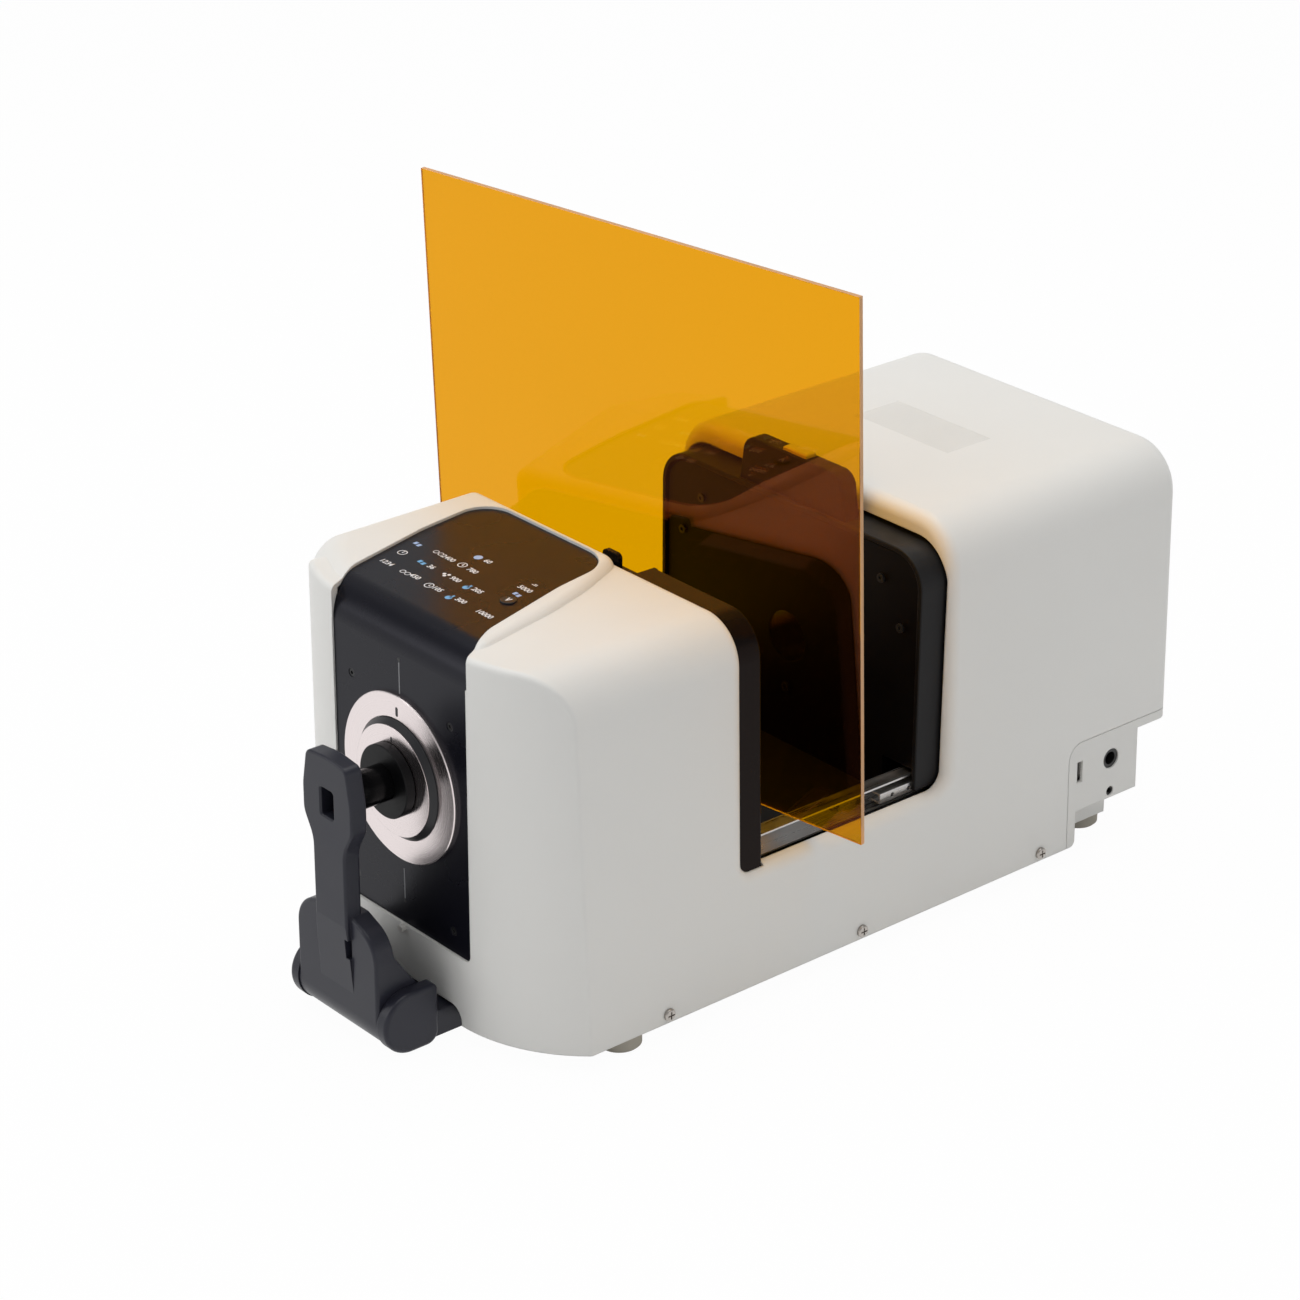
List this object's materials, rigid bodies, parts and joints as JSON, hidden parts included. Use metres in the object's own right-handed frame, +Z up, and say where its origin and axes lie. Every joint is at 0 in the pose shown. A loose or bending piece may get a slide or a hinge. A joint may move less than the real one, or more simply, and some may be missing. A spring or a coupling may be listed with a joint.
{
  "type": "benchtop colorimeter",
  "caption": "Benchtop colour-measuring instrument with a front specimen port and fold-down holder, an open chamber closed by a sliding hood, and an amber sheet standing in the chamber.",
  "frame": {"origin": "centre of the housing's footprint, at desk level", "axes": "+X to the right seen from the front, -Y out of the front face with the specimen port, +Z up"},
  "size_m": [0.3225, 0.548, 0.4263],
  "materials": {
    "cover_white": "painted, fine texture",
    "base_white": "moulded, fine texture",
    "foot_rubber": "matte",
    "panel_black": "satin",
    "holder_slate": "painted, satin",
    "pad_black": "satin",
    "socket_black": "moulded",
    "socket_steel": "nickel plated",
    "screw_steel": "nickel plated",
    "screw_black": "black oxide",
    "ring_metal": "satin, turned",
    "peg_white": "moulded",
    "button_black": "satin",
    "key_white": "satin",
    "tube_aluminium": "black anodised",
    "sphere_white": "diffuse white",
    "cradle_plastic": "moulded",
    "flash_glass": "clear",
    "camera_black": "moulded",
    "box_aluminium": "cast",
    "board_green": "solder mask",
    "lens_glass": "polished",
    "floor_steel": "black, satin",
    "supply_steel": "zinc plated",
    "capacitor_sleeve": "sleeved",
    "rail_steel": "zinc plated",
    "bracket_steel": "zinc plated",
    "stop_plastic": "moulded",
    "chain_black": "moulded",
    "cage_steel": "pressed",
    "pin_steel": "ground",
    "amber_sheet": "polished clear acrylic"
  },
  "bodies": {
    "body": {"outer_cover": "cover_white", "base_chassis": "base_white", "power_socket": "socket_black", "trigger_socket": "socket_black", "usb_socket": "socket_steel", "foot_front_left": "foot_rubber", "foot_front_right": "foot_rubber", "foot_rear_left": "foot_rubber", "foot_rear_right": "foot_rubber", "side_screws": "screw_steel", "holder_bracket": "holder_slate", "bracket_screws": "screw_steel", "hinge_pin": "pin_steel", "front_panel": "panel_black", "panel_screws": "screw_black", "stage_peg": "peg_white", "port_ring": "ring_metal", "port_tube": "tube_aluminium", "button_board": "board_green", "sphere_front": "sphere_white", "sphere_rear": "sphere_white", "sphere_cradle": "cradle_plastic", "lamp_housing": "tube_aluminium", "flash_tube": "flash_glass", "viewer_camera": "camera_black", "spectrometer_box": "box_aluminium", "spectrometer_board": "board_green", "front_band": "panel_black", "front_window": "lens_glass", "window_tube": "tube_aluminium", "chamber_floor": "floor_steel", "receiver_wall": "panel_black", "receiver_lens": "lens_glass", "receiver_screws": "screw_black", "receiver_box": "panel_black", "power_supply": "supply_steel", "capacitor": "capacitor_sleeve", "main_board": "board_green", "rail_outer_left": "rail_steel", "rail_outer_right": "rail_steel", "rail_bracket_left": "bracket_steel", "rail_bracket_right": "bracket_steel", "rail_screws": "screw_steel", "rail_stop_left": "stop_plastic", "rail_stop_right": "stop_plastic", "cable_chain": "chain_black"},
    "mask": {"target_mask": "panel_black", "mask_plate": "ring_metal"},
    "button": {"measure_button": "button_black"},
    "hood": {"hood_shell": "panel_black", "hood_grip": "panel_black", "rail_inner_left": "rail_steel", "rail_inner_right": "rail_steel"},
    "key": {"hood_key": "key_white"},
    "cages": {"ball_cage_left": "cage_steel", "ball_cage_right": "cage_steel"},
    "sample": {"sample_sheet": "amber_sheet"},
    "holder": {"holder_arm": "holder_slate", "presser_shaft": "holder_slate", "presser_pad": "pad_black"}
  },
  "joints": [
    {"name": "mask_turn", "type": "hinge", "parent": "body", "child": "mask", "pos_m": [0, -0.2476, 0.1455], "axis": [0, 1, 0], "range_deg": [0, 25]},
    {"name": "button_press", "type": "slide", "parent": "body", "child": "button", "axis": [0, 0, -1], "range_m": [0, 0.001], "stiffness_N_per_m": 1500},
    {"name": "hood_slide", "type": "slide", "parent": "body", "child": "hood", "axis": [0, -1, 0], "range_m": [0, 0.08]},
    {"name": "cage_slide", "type": "slide", "parent": "body", "child": "cages", "axis": [0, -1, 0], "range_m": [0, 0.04]},
    {"name": "key_press", "type": "slide", "parent": "hood", "child": "key", "axis": [0, 0, -1], "range_m": [0, 0.002], "stiffness_N_per_m": 1500},
    {"name": "sheet_lift", "type": "slide", "parent": "body", "child": "sample", "axis": [0, 0, 1], "range_m": [0, 0.16]},
    {"name": "holder_swing", "type": "hinge", "parent": "body", "child": "holder", "pos_m": [0, -0.278, 0.02], "axis": [1, 0, 0], "range_deg": [0, 85]}
  ],
  "couplings": [
    {"joint": "cage_slide", "follows": "hood_slide", "ratio": 0.5}
  ]
}
